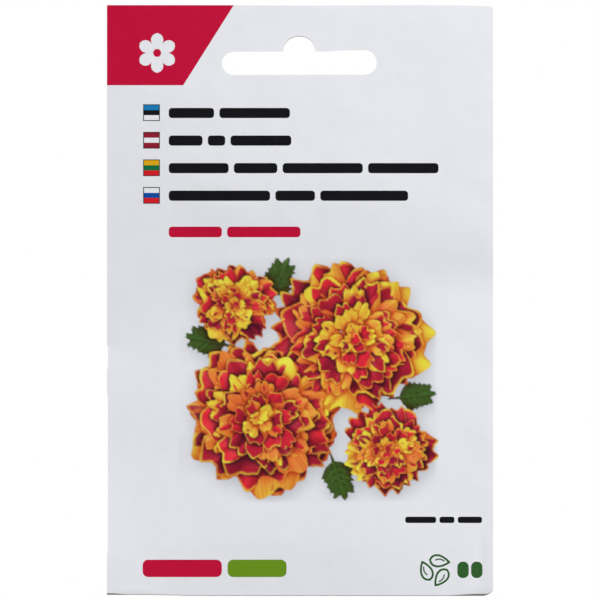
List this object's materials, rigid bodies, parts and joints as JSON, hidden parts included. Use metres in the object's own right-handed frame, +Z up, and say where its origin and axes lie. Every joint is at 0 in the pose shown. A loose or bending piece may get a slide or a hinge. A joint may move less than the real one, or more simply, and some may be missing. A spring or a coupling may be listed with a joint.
{
  "type": "seed packet",
  "caption": "Flat paper seed packet with a hang slot in its header, sealed edges and a slightly puffed pocket that holds loose seeds.",
  "frame": {"origin": "top of the hang slot's arch, midway between the two webs: the point that rests on a display peg", "axes": "+Z up, +X to the right of the printed face, +Y out of the plain back; the printed face looks along -Y"},
  "size_m": [0.08, 0.0025, 0.1223],
  "materials": {
    "printed_paper": "satin coated paper, printed",
    "back_paper": "matte uncoated paper",
    "seed_husk": "dry matte husk with straw-coloured tips"
  },
  "bodies": {
    "root": {"front_panel": "printed_paper", "back_panel": "back_paper", "seed_cluster_1": "seed_husk", "seed_cluster_2": "seed_husk", "seed_cluster_3": "seed_husk", "seed_cluster_4": "seed_husk", "seed_cluster_5": "seed_husk"}
  },
  "joints": []
}
